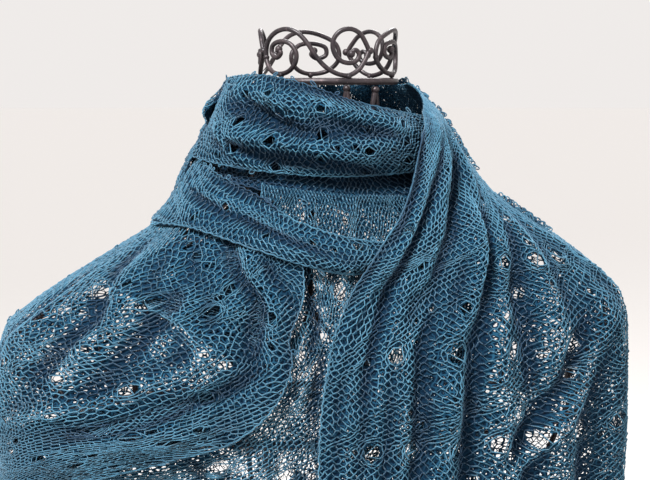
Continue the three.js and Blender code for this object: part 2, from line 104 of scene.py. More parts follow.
# rows between the rows of a table whose first column rises
def rowAt(table, key):
    rows = np.asarray(table, float)
    keys, values = rows[:, 0], rows[:, 1:]
    at = np.clip(key, keys[0], keys[-1])
    i = np.clip(np.searchsorted(keys, at, side="right") - 1, 0, len(keys) - 2)
    slopes = np.diff(values, axis=0) / np.diff(keys)[:, None]
    tangents = np.empty_like(values)
    tangents[0], tangents[-1] = slopes[0], slopes[-1]
    before, after = slopes[:-1], slopes[1:]
    agree = before * after > 0
    tangents[1:-1] = np.where(agree, 2 * before * after / np.where(agree, before + after, 1), 0)
    span = (keys[i + 1] - keys[i])[..., None]
    t = (at - keys[i])[..., None] / span
    ends = (2 * t**3 - 3 * t**2 + 1) * values[i] + (3 * t**2 - 2 * t**3) * values[i + 1]
    bends = (t**3 - 2 * t**2 + t) * tangents[i] + (t**3 - t**2) * tangents[i + 1]
    return np.moveaxis(ends + bends * span, -1, 0)


def outlinePoint(table, angle, drop, lift=0.0):
    angle, drop, lift = np.broadcast_arrays(*(np.asarray(a, float) for a in (angle, drop, lift)))
    left, right, front, back, squareness = rowAt(table, drop)
    across, ahead = np.sin(np.radians(angle)), np.cos(np.radians(angle))
    side = np.abs(across) / np.where(across < 0, left, right)
    depth = np.abs(ahead) / np.where(ahead > 0, front, back)
    radius = (side**squareness + depth**squareness) ** (-1 / squareness) + lift
    return np.stack([radius * across, -radius * ahead, form["neckHeight"] - drop], -1)


def unit(v):
    return v / np.maximum(np.linalg.norm(v, axis=-1, keepdims=True), 1e-12)


# a point of the wire figure, moved square to its surface
def figurePoint(angle, drop, lift=0.0):
    angle, drop = np.asarray(angle, float), np.asarray(drop, float)
    spot = outlinePoint(figureHoops, angle, drop)
    around = outlinePoint(figureHoops, angle + 1, drop) - outlinePoint(figureHoops, angle - 1, drop)
    down = outlinePoint(figureHoops, angle, drop + 1) - outlinePoint(figureHoops, angle, drop - 1)
    return spot + unit(np.cross(down, around)) * lift


# the smooth line through points that the solids follow too, sampled closely
def smoothLine(points, perSpan=24, closed=False):
    p = np.asarray(points, float)
    if closed:
        p = np.vstack([p[-1:], p, p[:2]])
    else:
        p = np.vstack([2 * p[0] - p[1], p, 2 * p[-1] - p[-2]])
    out = []
    for k in range(1, len(p) - 2):
        x0, x1, x2, x3 = p[k - 1 : k + 3]
        pairs = ((x0, x1), (x1, x2), (x2, x3))
        d0, d1, d2 = (max(np.linalg.norm(b - a) ** 0.5, 1e-4) for a, b in pairs)
        m1 = ((x1 - x0) / d0 - (x2 - x0) / (d0 + d1) + (x2 - x1) / d1) * d1
        m2 = ((x2 - x1) / d1 - (x3 - x1) / (d1 + d2) + (x3 - x2) / d2) * d1
        t = np.arange(perSpan)[:, None] / perSpan
        cubic = 2 * x1 - 2 * x2 + m1 + m2
        square = -3 * x1 + 3 * x2 - 2 * m1 - m2
        out.append(x1 + m1 * t + square * t**2 + cubic * t**3)
    if not closed:
        out.append(p[-2:-1])
    return np.vstack(out)


def toWorld(points):
    return (np.asarray(points, float) + [form["x"], form["y"], 0]) * mm


# camera

viewpoint = {
    "azimuth": -13,
    "distance": 1200,
    "aboveRing": 5,
    "aside": 2,
    "tilt": 5.53,
    "lens": 94.93,
    "sensor": 36,
}


def makeCamera():
    turn = math.radians(viewpoint["azimuth"])
    ahead = Vector((-math.sin(turn), math.cos(turn), 0))
    right = Vector((math.cos(turn), math.sin(turn), 0))
    place = -ahead * viewpoint["distance"] - right * viewpoint["aside"]
    place.z = form["neckHeight"] + viewpoint["aboveRing"]
    bpy.ops.object.camera_add(location=toWorld(place))
    camera = bpy.context.object
    camera.data.sensor_width = viewpoint["sensor"]
    camera.data.lens = viewpoint["lens"]
    tilt = math.radians(viewpoint["tilt"])
    look = ahead * math.cos(tilt) - Vector((0, 0, math.sin(tilt)))
    camera.rotation_euler = look.to_track_quat("-Z", "Y").to_euler()
    bpy.context.scene.camera = camera


makeCamera()
bpy.context.scene.view_settings.view_transform = "Standard"
print("camera ready")


# materials

class Value:
    # a number or colour on its way through a material; arithmetic on it adds Math nodes
    def __init__(self, shader, socket):
        self.shader = shader
        self.socket = socket

    def math(self, operation, first, second=0.0):
        return self.shader.node("ShaderNodeMath", {"operation": operation}, {0: first, 1: second})

    def __add__(self, other):
        return self.math("ADD", self, other)

    __radd__ = __add__

    def __sub__(self, other):
        return self.math("SUBTRACT", self, other)

    def __rsub__(self, other):
        return self.math("SUBTRACT", other, self)

    def __mul__(self, other):
        return self.math("MULTIPLY", self, other)

    __rmul__ = __mul__

    def __gt__(self, other):
        return self.math("GREATER_THAN", self, other)

    def sine(self):
        return self.math("SINE", self)


class Shader:
    def __init__(self, name):
        self.material = bpy.data.materials.new(name)
        self.material.use_nodes = True
        self.tree = self.material.node_tree
        self.surface = self.tree.nodes["Principled BSDF"]

    def feed(self, socket, value):
        if isinstance(value, Value):
            self.tree.links.new(value.socket, socket)
        elif isinstance(value, tuple) and len(value) == 3 and socket.type == "RGBA":
            socket.default_value = (*value, 1)
        else:
            socket.default_value = value

    def node(self, kind, settings=None, inputs=None, output=0):
        made = self.tree.nodes.new(kind)
        for key, value in (settings or {}).items():
            if key == "stops":
                for k, (place, shade) in enumerate(value):
                    stop = made.color_ramp.elements[k] if k < 2 else made.color_ramp.elements.new(place)
                    stop.position = place
                    stop.color = (*shade, 1) if isinstance(shade, tuple) else (shade, shade, shade, 1)
            else:
                setattr(made, key, value)
        for key, value in (inputs or {}).items():
            self.feed(made.inputs[key], value)
        return Value(self, made.outputs[output])

    def place(self):
        return self.node("ShaderNodeTexCoord", output="Object")

    def noise(self, scale, detail=2.0, roughness=0.5, where=None):
        inputs = {"Scale": scale, "Detail": detail, "Roughness": roughness}
        inputs["Vector"] = where if where else self.place()
        return self.node("ShaderNodeTexNoise", None, inputs, "Fac")

    def ramp(self, factor, stops):
        return self.node("ShaderNodeValToRGB", {"stops": stops}, {"Fac": factor})

    def blend(self, factor, first, second):
        return self.node("ShaderNodeMix", {"data_type": "RGBA"}, {0: factor, 6: first, 7: second}, 2)

    def attribute(self, name, output="Fac"):
        return self.node("ShaderNodeAttribute", {"attribute_name": name}, None, output)

    def bump(self, height, strength, distance):
        inputs = {"Height": height, "Strength": strength, "Distance": distance}
        return self.node("ShaderNodeBump", None, inputs, "Normal")

    def finish(self, sockets):
        for key, value in sockets.items():
            self.feed(self.surface.inputs[key], value)
        return self.material


studio = {
    "floorRadius": 30,
    "floorPaint": [(0.72, 0.705, 0.69), (0.74, 0.725, 0.71)],
    "floorGlow": 0.26, # of the air's strength
    "air": (0.90, 0.868, 0.85),
    "airStrength": 0.96,
    # from, towards, size, power, spread
    "key": [(-1.4, -1.5, 2.9), (0, 0, 0.45), 0.7, 24, 60],
    "fill": [(2.2, -1.8, 1.2), (0, 0, 0.45), 2.0, 5, 120],
    "rim": [(0.9, 2.2, 2.2), (0, 0, 0.5), 1.4, 7, 60],
}

# the two darkest colours are painted shade; mid and light are the yarn's own tones, and mid is also the
# painted light of the web
yarnColours = {
    "shadow": (0.0010, 0.0105, 0.0260),
    "deep": (0.001, 0.018, 0.050),
    "mid": (0.016, 0.082, 0.145),
    "light": (0.082, 0.240, 0.345),
}


def makeYarn():
    s = Shader("tealYarn")
    dye = s.ramp(s.noise(16, 3, 0.55), [(0.32, 0.0), (0.70, 1.0)])
    fleck = s.ramp(s.noise(420, 2, 0.6), [(0.40, 0.0), (0.72, 1.0)])
    paintedShade = s.attribute("paintedShade")
    body = s.blend(dye * 0.35 + fleck * 0.35 + 0.25, yarnColours["mid"], yarnColours["light"])
    # two plies twisted round each other: a stripe that climbs along the strand
    strand = s.attribute("strand", "Vector")
    split = s.tree.nodes.new("ShaderNodeSeparateXYZ")
    s.feed(split.inputs[0], strand)
    x, y, along = (Value(s, split.outputs[k]) for k in range(3))
    turn = x.math("ARCTAN2", y, x)
    ply = (along * 4200.0 + turn * 2.0).sine() * 0.5 + 0.5
    fuzz = s.noise(1900, 3, 0.7)
    # painted shade in the groove between the two plies
    shade = s.blend((1 - ply) * 0.2, body, yarnColours["deep"])
    # painted shade: the yarn darkens towards its darkest colour in the troughs of the folds and on shaded
    # stretches
    shade = s.blend(s.ramp(paintedShade, [(0.42, 0.0), (0.88, 0.92)]), shade, yarnColours["deep"])
    height = ply * 0.7 + fuzz * 0.6
    return s.finish({
        "Base Color": shade,
        "Roughness": fuzz * 0.2 + 0.68,
        "Normal": s.bump(height, 0.5, 0.0002),
        "Specular IOR Level": 0.3,
        "Sheen Weight": 0.25,
        "Sheen Roughness": 0.5,
        "Sheen Tint": (0.55, 0.78, 0.95),
    })


# the yarn's inner loops, which lie in the shade of the outer ones: a fine open web whose colour is painted
# shade, with painted light along its strands
def makeInnerYarn():
    s = Shader("tealYarnInside")
    chart = s.attribute("chart", "Vector")
    cover = s.attribute("cover")
    sway = s.node("ShaderNodeTexNoise", None, {"Vector": chart, "Scale": 150, "Detail": 2.0}, "Color")
    centred = s.node("ShaderNodeVectorMath", {"operation": "SUBTRACT"}, {0: sway, 1: (0.5, 0.5, 0.5)})
    pulled = s.node("ShaderNodeVectorMath", {"operation": "SCALE"}, {0: centred, "Scale": 0.004})
    spot = s.node("ShaderNodeVectorMath", {"operation": "ADD"}, {0: chart, 1: pulled})
    stitch = {"feature": "DISTANCE_TO_EDGE", "voronoi_dimensions": "2D"}
    gap = s.node("ShaderNodeTexVoronoi", stitch, {"Vector": spot, "Scale": 300.0}, "Distance")
    paintedShade = s.attribute("paintedShade")
    patch = s.ramp(s.noise(45, 3, 0.6, chart), [(0.36, 0.0), (0.64, 1.0)])
    reach = cover * 0.6 + patch * 0.17 - 0.03
    # painted light along the web's strands, dimmer in the troughs of the folds, over painted shade between
    # them
    lit = s.ramp(gap, [(0.05, 0.7), (0.15, 0.0)]) * (1.15 - paintedShade)
    shade = s.blend(lit, yarnColours["shadow"], yarnColours["mid"])
    return s.finish({
        "Base Color": shade,
        "Alpha": reach > gap,
        "Normal": s.bump(gap * -1.0, 0.8, 0.001),
        "Roughness": 0.9,
        "Specular IOR Level": 0.1,
    })


ironColours = {
    "lacquer": (0.014, 0.011, 0.014),
    "brown": (0.040, 0.028, 0.031),
    "worn": (0.20, 0.15, 0.155),
}


def makeIron():
    s = Shader("bronzedIron")
    blotch = s.ramp(s.noise(55, 4, 0.6), [(0.35, 0.0), (0.68, 1.0)])
    scuff = s.ramp(s.noise(330, 4, 0.7), [(0.58, 0.0), (0.70, 1.0)])
    hammered = s.node("ShaderNodeTexVoronoi", None, {"Vector": s.place(), "Scale": 190}, "Distance")
    pits = s.noise(1400, 3, 0.6)
    shade = s.blend(blotch, ironColours["lacquer"], ironColours["brown"])
    shade = s.blend(scuff * 0.55, shade, ironColours["worn"])
    return s.finish({
        "Base Color": shade,
        "Metallic": scuff * 0.4 + 0.3,
        "Roughness": blotch * 0.16 + pits * 0.12 + 0.30,
        "Normal": s.bump(hammered * 0.5 + pits * 0.25, 0.35, 0.0006),
    })


def makeFloorPaint():
    s = Shader("palePaint")
    return s.finish({
        "Base Color": s.blend(s.noise(30, 3, 0.5), *studio["floorPaint"]),
        "Roughness": 0.9,
        "Emission Color": studio["air"],
        "Emission Strength": studio["airStrength"] * studio["floorGlow"],
    })


yarn = makeYarn()
innerYarn = makeInnerYarn()
iron = makeIron()
floorPaint = makeFloorPaint()
print("materials ready")


# floor and light

def makeStage():
    bpy.ops.object.select_all(action="DESELECT")
    bpy.ops.mesh.primitive_circle_add(vertices=96, radius=studio["floorRadius"], fill_type="NGON")
    floor = bpy.context.object
    floor.name = "floor"
    floor.data.materials.append(floorPaint)
    for name in ("key", "fill", "rim"):
        place, towards, size, power, spread = studio[name]
        bpy.ops.object.light_add(type="AREA", location=place)
        light = bpy.context.object
        light.name = name + "Light"
        light.data.shape = "DISK"
        light.data.size = size
        light.data.energy = power
        light.data.spread = math.radians(spread)
        light.rotation_euler = (Vector(towards) - Vector(place)).to_track_quat("-Z", "Y").to_euler()
    world = bpy.data.worlds.new("studioAir")
    world.use_nodes = True
    sky = world.node_tree.nodes["Background"]
    sky.inputs["Color"].default_value = (*studio["air"], 1)
    sky.inputs["Strength"].default_value = studio["airStrength"]
    bpy.context.scene.world = world


makeStage()
print("stage ready")


# wires

def dress(piece, name, nodes, material):
    piece.name = name
    piece.data.name = name
    piece.data.materials.clear()
    piece.data.materials.append(material)
    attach(piece, "root")
    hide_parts(*nodes)


# a round wire along points in millimetres
def bendWire(points, radius, closed=False, roundness=3):
    bpy.ops.object.select_all(action="DESELECT")
    bpy.ops.curve.primitive_nurbs_path_add()
    wire = bpy.context.object
    curve = wire.data
    curve.splines.clear()
    spline = curve.splines.new("POLY")
    spline.points.add(len(points) - 1)
    world = toWorld(points)
    spline.points.foreach_set("co", np.hstack([world, np.ones((len(world), 1))]).ravel())
    spline.use_cyclic_u = closed
    curve.bevel_depth = radius * mm
    curve.bevel_resolution = roundness
    curve.use_fill_caps = not closed
    bpy.ops.object.convert(target="MESH")
    wire = bpy.context.object
    bpy.ops.object.shade_smooth_by_angle(angle=math.radians(50))
    return wire


def bead(point, radius):
    bpy.ops.object.select_all(action="DESELECT")
    place = toWorld(point)
    bpy.ops.mesh.primitive_uv_sphere_add(segments=16, ring_count=10, radius=radius * mm, location=place)
    bpy.ops.object.transform_apply(location=True, rotation=True, scale=True)
    bpy.ops.object.shade_smooth()
    return bpy.context.object


def joined(pieces):
    bpy.ops.object.select_all(action="DESELECT")
    for piece in pieces:
        piece.select_set(True)
    bpy.context.view_layer.objects.active = pieces[0]
    bpy.ops.object.join()
    return bpy.context.object


def ringPoint(angle, height, radius=form["neckRadius"]):
    angle, height = np.broadcast_arrays(np.asarray(angle, float), np.asarray(height, float))
    across, ahead = np.sin(np.radians(angle)), np.cos(np.radians(angle))
    return np.stack([radius * across, -radius * ahead, form["neckHeight"] + height], -1)


around = np.arange(0, 360, 3.0)
insideHoops = -form["hoopWire"] - form["ribWire"] - form["seam"] - form["hoopFacet"]
braceInside = -form["hoopWire"] - form["ribWire"] + form["seam"]


def makeHoops():
    hoops = {"yoke": form["yokeDrop"], "bust": form["bustDrop"], "waist": form["waistDrop"]}
    for name, drop in hoops.items():
        hoop = bendWire(figurePoint(around, drop + 0 * around), form["hoopWire"], closed=True)
        dress(hoop, name + "Hoop", [name + "_hoop"], iron)
    ring = bendWire(ringPoint(around, 0), form["neckWire"], closed=True)
    dress(ring, "neckRing", ["neck_ring"], iron)


def makeFoot():
    bpy.ops.object.select_all(action="DESELECT")
    bpy.ops.mesh.primitive_circle_add(vertices=len(around), radius=1, fill_type="NGON")
    foot = bpy.context.object
    rim = toWorld(figurePoint(-around, form["neckHeight"] + 0 * around, form["footWidth"] / 2))
    rim[:, 2] = 0
    foot.data.vertices.foreach_set("co", rim.ravel())
    bpy.ops.object.mode_set(mode="EDIT")
    bpy.ops.mesh.select_all(action="SELECT")
    bpy.ops.mesh.normals_make_consistent(inside=False)
    bpy.ops.mesh.inset(thickness=form["footWidth"] * mm)
    bpy.ops.mesh.delete(type="FACE")
    bpy.ops.mesh.select_all(action="SELECT")
    bpy.ops.mesh.extrude_region_move(TRANSFORM_OT_translate={"value": (0, 0, form["footHeight"] * mm)})
    bpy.ops.mesh.select_all(action="SELECT")
    bpy.ops.mesh.normals_make_consistent(inside=False)
    bpy.ops.object.mode_set(mode="OBJECT")
    edges = foot.modifiers.new("softEdges", "BEVEL")
    edges.width = 0.9 * mm
    edges.segments = 2
    bpy.ops.object.modifier_apply(modifier="softEdges")
    bpy.ops.object.shade_smooth_by_angle(angle=math.radians(40))
    dress(foot, "footRing", ["foot_ring"], iron)


crown = {
    # where each panel starts round the ring, its width
    "panels": [[-77, 101], [29.7, 121], [156.4, 121]],
    "braces": [30, 150, 270],
    "lowest": 2.2,
    "hub": [1, 18.7],
    "ball": 2.6,
    "weld": 2.1,
    # share of the panel's width, height above the ring
    "welds": [[0.804, 1.4], [0.215, 2.4], [0.007, 14.5]],
    "wave": [
        [0.188, 19.8], [0.21, 17.2], [0.166, 14.2], [0.101, 16.8], [0.106, 22], [0.205, 25],
        [0.304, 23.5], [0.364, 17.5], [0.359, 11], [0.304, 5.5], [0.215, 3.2], [0.087, 5.5],
        [0.007, 13.8], [0.027, 24.2], [0.149, 31.2], [0.28, 33.2], [0.379, 30.5], [0.463, 23.8],
        [0.542, 14.2], [0.619, 7.5], [0.713, 3.2], [0.804, 2.2], [0.891, 6], [0.95, 12.2], [0.99, 18.2],
    ],
    "curl": [
        [0.827, 16.5], [0.859, 19.2], [0.894, 16.8], [0.881, 12.8], [0.817, 10.5], [0.728, 12.5],
        [0.676, 19.2], [0.681, 26.5], [0.738, 31.8], [0.822, 33.2], [0.901, 30.2], [0.955, 24.2],
        [0.986, 19.6],
    ],
}
neckBrace = {"bead": 2.8, "spread": 11, "inward": 0.7}


def makeCrown():
    seat = form["neckWire"] + form["crownWire"] - crown["lowest"]
    for k, (start, width) in enumerate(crown["panels"]):

        def onRing(rows):
            rows = np.atleast_2d(rows)
            return ringPoint(start + rows[:, 0] * width, rows[:, 1] + seat)

        wires = [
            bendWire(smoothLine(onRing(crown[part]), 8), form["crownWire"], roundness=4)
            for part in ("wave", "curl")
        ]
        spots = (crown["wave"][0], crown["curl"][0], crown["hub"])
        beads = [bead(onRing(spot)[0], crown["ball"]) for spot in spots]
        beads += [bead(onRing(spot)[0], crown["weld"]) for spot in crown["welds"]]
        dress(joined(wires + beads), f"crownPanel{k + 1}", [f"crown_panel_{k + 1}"], iron)

    for k, angle in enumerate(crown["braces"]):
        top = ringPoint(angle, -form["neckWire"] - form["seam"] - neckBrace["bead"])
        legs = []
        for side in (-1, 1):
            turn = angle + side * neckBrace["spread"]
            footLift = insideHoops - neckBrace["inward"]
            foot = figurePoint(turn, form["yokeDrop"] + form["hoopWire"], footLift)
            legs.append(bendWire(smoothLine([top, (top + foot) / 2, foot], 6), form["ribWire"]))
        brace = joined([*legs, bead(top, neckBrace["bead"])])
        dress(brace, f"neckBrace{k + 1}", [f"neck_brace_{k + 1}"], iron)


ribs = {
    # angles, from drop, to drop
    "front": [[-30, -10, 10, 30], 225, 594.1],
    "side": [[-80, 80], 225, 594.1],
    "back": [[-120, -150, 150, 120], 42, 594.1],
    "shoulder": [[-110, 110], 42, 233],
    "chest": [[-60, 70], 42, 233],
}
chestBraces = {
    # rows of angle and drop
    "left": {
        "stem": [[-23, 56], [-21, 104], [-19, 145]],
        "legs": [[[-19, 145], [-27, 192], [-38, 232]], [[-19, 145], [-4, 178], [12, 206], [21, 232]]],
    },
    "right": {
        "stem": [[28, 56], [35, 98], [38, 131]],
        "legs": [[[38, 131], [24, 176], [16.5, 201]], [[38, 131], [49, 168], [57, 232]]],
    },
}
# which point, towards the neck, back, up
armholeRows = [
    ["rest", 9, -14, 12], ["rest", 0, 0, 0], ["rest", 8, 20, -22], ["low", -10, 18, 12],
    ["low", 0, 0, 0], ["low", -4, -30, 8], ["rest", 16, -42, -16], ["rest", 16, -34, 4],
]


def camel(name):
    first, *rest = name.split("_")
    return first + "".join(word.capitalize() for word in rest)


def makeRibs():
    drops = np.array([row[0] for row in figureHoops], float)
    for name, (angles, fromDrop, toDrop) in ribs.items():
        between = drops[(drops > fromDrop + 8) & (drops < toDrop - 8)]
        rows = np.array([fromDrop, *between, toDrop])
        for k, angle in enumerate(angles):
            node = f"rib_{name}_{k + 1}"
            line = smoothLine(figurePoint(angle + 0 * rows, rows, insideHoops), 8)
            dress(bendWire(line, form["ribWire"]), camel(node), [node], iron)
    for side, brace in chestBraces.items():
        wires = []
        for rows in [brace["stem"], *brace["legs"]]:
            rows = np.array(rows)
            points = figurePoint(rows[:, 0], rows[:, 1], braceInside)
            wires.append(bendWire(smoothLine(points, 10), form["ribWire"]))
        joint = figurePoint(*brace["stem"][-1], braceInside)
        piece = joined([*wires, bead(joint, neckBrace["bead"])])
        dress(piece, camel("chest_brace_" + side), ["chest_brace_" + side], iron)


def makeArmholes():
    clear = form["clothWall"] / 2 + 2 * form["seam"] + form["hoopWire"]
    for side, sign in (("left", -1), ("right", 1)):
        anchors = {
            "rest": outlinePoint(clothHoops, sign * 90, form["armholeDrop"], 1 - clear),
            "low": figurePoint(sign * 90, form["bustDrop"]),
        }
        anchors["low"][2] = form["neckHeight"] - form["bustDrop"] + 2 * form["hoopWire"] + form["seam"]
        points = []
        for anchor, inward, back, up in armholeRows:
            points.append([anchors[anchor][0] - sign * inward, back, anchors[anchor][2] + up])
        hoop = bendWire(smoothLine(points, 10, closed=True), form["hoopWire"], closed=True)
        dress(hoop, camel("armhole_" + side), ["armhole_" + side], iron)
        overYoke = form["hoopWire"] + form["ribWire"] + form["seam"]
        rows = [[form["yokeDrop"], overYoke], [84, 2], [110, 0], [136, 0]]
        line = [figurePoint(sign * 90, drop, lift) for drop, lift in rows]
        top = outlinePoint(clothHoops, sign * 90, form["armholeDrop"], 1)
        line.append(top + [-sign * 18.5, -8.5, 14])
        wire = bendWire(smoothLine(line, 10), form["ribWire"])
        dress(wire, camel("shoulder_wire_" + side), ["shoulder_wire_" + side], iron)


makeHoops()
makeFoot()
makeCrown()
makeRibs()
makeArmholes()
print("wire form ready")


# the cloth's shape: each stretch is ruled between two edges, with sags, lifts and folds

# from angle and drop, to angle and drop, height, half-width
hangingFolds = [
    [-74, 280, -78, 560, -7, 12], [-58, 240, -64, 560, 10, 14], [-46, 240, -50, 560, -8, 12],
    [-28, 190, -36, 560, 9, 13], [-20, 250, -25, 560, -6, 10], [-8, 130, -14, 560, 7, 11],
    [8, 120, 4, 560, 6, 9], [20, 130, 11, 560, 7, 10], [18, 240, 19, 560, -6, 8],
    [34, 110, 27, 560, 9, 10], [48, 120, 46, 560, 8, 12], [37, 230, 37, 560, -7, 9],
    [66, 130, 62, 560, 10, 14], [54, 230, 54, 560, -8, 10], [80, 170, 77, 560, 8, 12],
    [108, 190, 112, 560, 9, 14], [124, 150, 132, 560, -8, 13], [142, 120, 152, 560, 10, 15],
    [164, 170, 168, 560, -8, 13], [186, 110, 182, 560, 11, 15], [204, 180, 200, 560, -9, 13],
    [224, 130, 216, 560, 10, 15], [240, 190, 236, 560, -8, 13], [252, 170, 254, 560, 9, 14],
]
innerFold = [
    [-28, 92], [-23, 104], [-20.5, 119], [-20, 136], [-23, 162], [-22, 175],
    [-25.5, 201], [-34, 223], [-46, 235], [-60, 251], [-76, 276],
]

